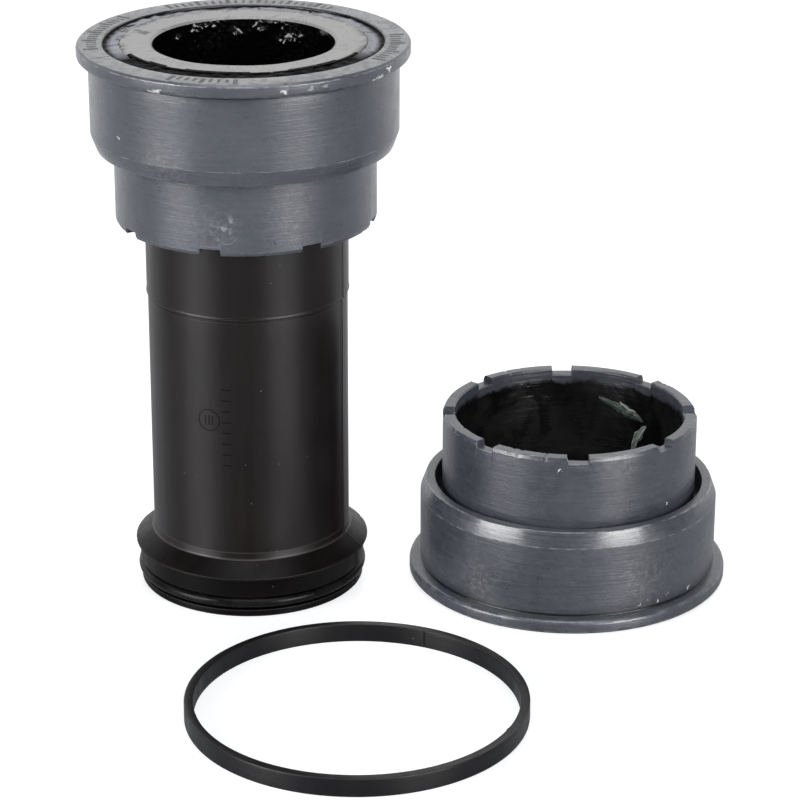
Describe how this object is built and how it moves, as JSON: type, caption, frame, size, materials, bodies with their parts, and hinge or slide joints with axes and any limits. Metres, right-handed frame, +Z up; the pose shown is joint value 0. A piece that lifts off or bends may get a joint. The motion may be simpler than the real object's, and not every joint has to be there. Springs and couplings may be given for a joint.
{
  "type": "bottom bracket",
  "caption": "Press-fit bottom bracket set laid out taken apart: flanged bearing cups with notched rings, an O-ring sealed inner sleeve and a thin shell spacer ring.",
  "frame": {"origin": "on the inner sleeve's axis, at the foot face that the sleeve stands on", "axes": "+Z up along the sleeve's and the left cup's axis, towards the left cup's flange; +X from the sleeve towards the right cup; the spacer lies towards -Y"},
  "size_m": [0.088, 0.0888, 0.0764],
  "materials": {
    "cup_nylon": "satin moulded glass-filled nylon, scuffed",
    "cover_plastic": "satin moulded plastic, greasy",
    "sleeve_plastic": "satin moulded plastic",
    "spacer_plastic": "satin moulded plastic",
    "oring_rubber": "glossy greased rubber",
    "seal_rubber": "greasy rubber",
    "race_steel": "ground bearing steel, greased",
    "ball_steel": "polished",
    "cage_nylon": "natural nylon"
  },
  "bodies": {
    "sleeve": {"sleeve_tube": "sleeve_plastic", "sleeve_lower_oring": "oring_rubber", "sleeve_upper_oring": "oring_rubber"},
    "left_cup": {"left_cup_shell": "cup_nylon", "left_outer_race": "race_steel", "left_outer_seal": "seal_rubber", "left_inner_seal": "seal_rubber"},
    "left_race": {"left_inner_race": "race_steel", "left_dust_cover": "cover_plastic"},
    "left_cage": {"left_ball_cage": "cage_nylon", "left_balls": "ball_steel"},
    "right_cup": {"right_cup_shell": "cup_nylon", "right_outer_race": "race_steel", "right_outer_seal": "seal_rubber", "right_inner_seal": "seal_rubber"},
    "right_race": {"right_inner_race": "race_steel", "right_dust_cover": "cover_plastic"},
    "right_cage": {"right_ball_cage": "cage_nylon", "right_balls": "ball_steel"},
    "spacer": {"spacer_ring": "spacer_plastic"}
  },
  "joints": [
    {"name": "left_cup_pull", "type": "slide", "parent": "sleeve", "child": "left_cup", "axis": [0, 0, 1], "range_m": [0, 0.02]},
    {"name": "left_spindle_turn", "type": "hinge", "parent": "left_cup", "child": "left_race", "pos_m": [0, 0, 0.07215], "axis": [0, 0, 1], "continuous": true},
    {"name": "left_cage_turn", "type": "hinge", "parent": "left_cup", "child": "left_cage", "pos_m": [0, 0, 0.07215], "axis": [0, 0, 1], "continuous": true},
    {"name": "right_cup_lift", "type": "slide", "parent": "sleeve", "child": "right_cup", "axis": [0, 0, 1], "range_m": [0, 0.04]},
    {"name": "right_spindle_turn", "type": "hinge", "parent": "right_cup", "child": "right_race", "pos_m": [0.04398, 0.00123, 0.0043], "axis": [0, 0, 1], "continuous": true},
    {"name": "right_cage_turn", "type": "hinge", "parent": "right_cup", "child": "right_cage", "pos_m": [0.04398, 0.00123, 0.0043], "axis": [0, 0, 1], "continuous": true},
    {"name": "spacer_lift", "type": "slide", "parent": "sleeve", "child": "spacer", "axis": [0, 0, 1], "range_m": [0, 0.03]}
  ],
  "couplings": [
    {"joint": "left_cage_turn", "follows": "left_spindle_turn", "ratio": 0.44355},
    {"joint": "right_cage_turn", "follows": "right_spindle_turn", "ratio": 0.44355}
  ]
}
